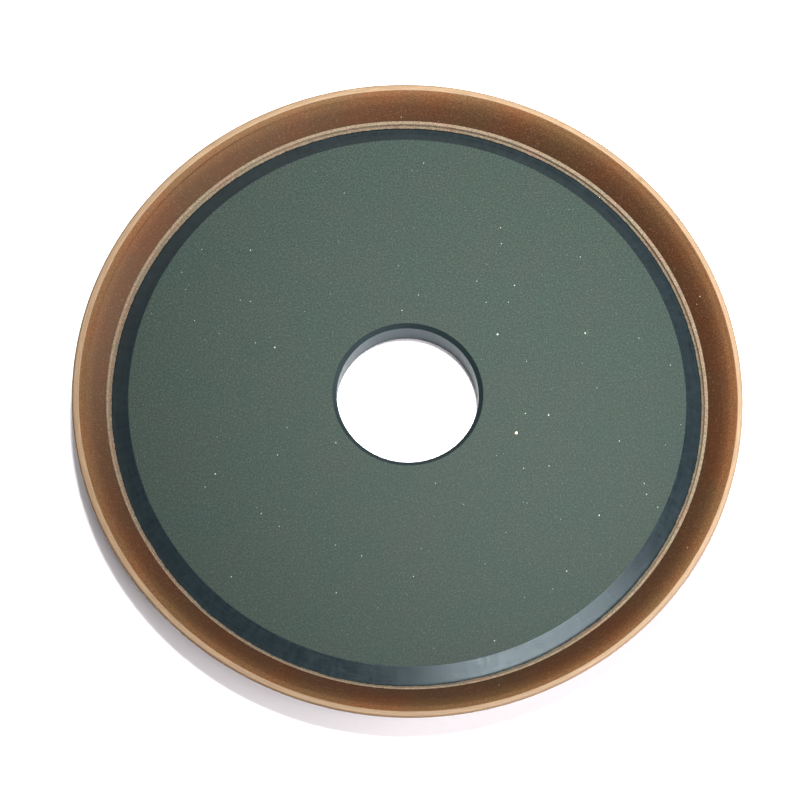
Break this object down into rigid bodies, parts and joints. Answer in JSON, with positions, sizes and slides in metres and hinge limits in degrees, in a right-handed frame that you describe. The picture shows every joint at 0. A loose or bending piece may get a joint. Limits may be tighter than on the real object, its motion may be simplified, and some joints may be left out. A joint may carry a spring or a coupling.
{
  "type": "diamond dish grinding wheel",
  "caption": "Shallow dish grinding wheel with a resin-bonded diamond rim around a flat moulded core, clamped by its bored hub for sharpening and lapping.",
  "frame": {"origin": "centre of the bore on the flat back face that the wheel rests on, which is the bottom centre of its box", "axes": "+Z along the spindle axis, from the back face towards the grinding lip; the wheel is a solid of revolution, so X and Y are any two square directions in the back face"},
  "size_m": [0.15, 0.15, 0.0125],
  "materials": {
    "moulded_core": "fine matt moulded and ground filled phenolic resin, grey-green, machined blue-black at the edge bevel and bore",
    "plain_bond": "grainy unpolished resin bond without diamond, beige",
    "diamond_bond": "fine-grained copper-brown resin bond with diamond grit, dressed brighter on the lip"
  },
  "bodies": {
    "root": {"core_body": "moulded_core", "bond_ring": "plain_bond", "diamond_rim": "diamond_bond"}
  },
  "joints": []
}
